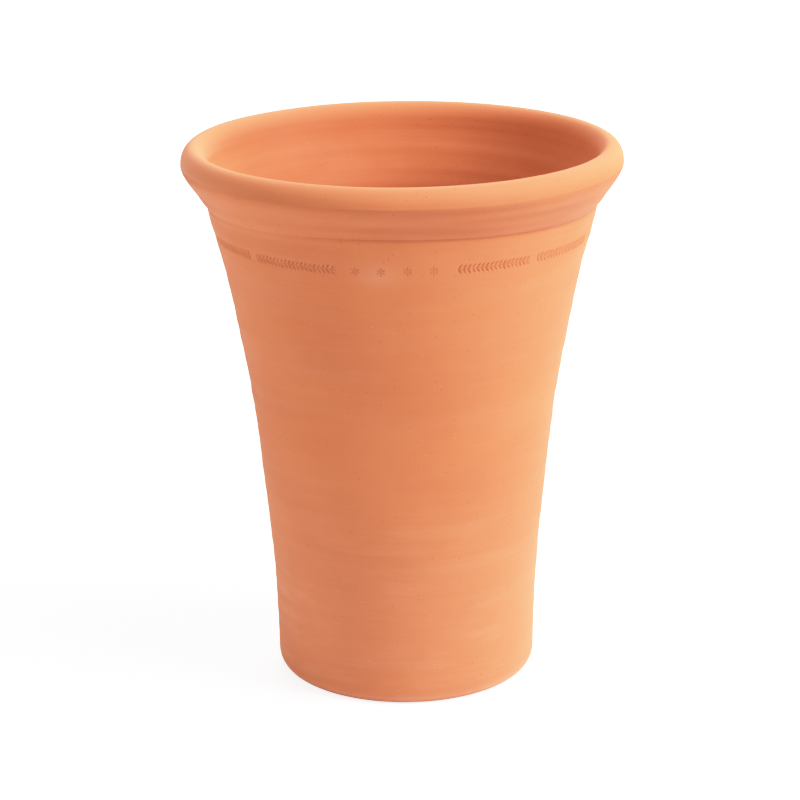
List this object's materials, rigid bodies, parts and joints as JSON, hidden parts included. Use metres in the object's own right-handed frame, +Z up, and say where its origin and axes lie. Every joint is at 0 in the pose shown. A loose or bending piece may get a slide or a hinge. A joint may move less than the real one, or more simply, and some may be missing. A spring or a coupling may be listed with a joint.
{
  "type": "terracotta flower pot",
  "caption": "Tall round clay flower pot with a long flared wall, a heavy rolled rim and one drain hole in its flat floor.",
  "frame": {"origin": "centre of the flat foot, on the surface that the pot stands on", "axes": "+Z up along the pot's axis to the open mouth; -Y towards the middle of the star marks in the band under the rim; +X to the right of them"},
  "size_m": [0.3019, 0.302, 0.377],
  "materials": {
    "terracotta": "matte"
  },
  "bodies": {
    "root": {"pot": "terracotta"}
  },
  "joints": []
}
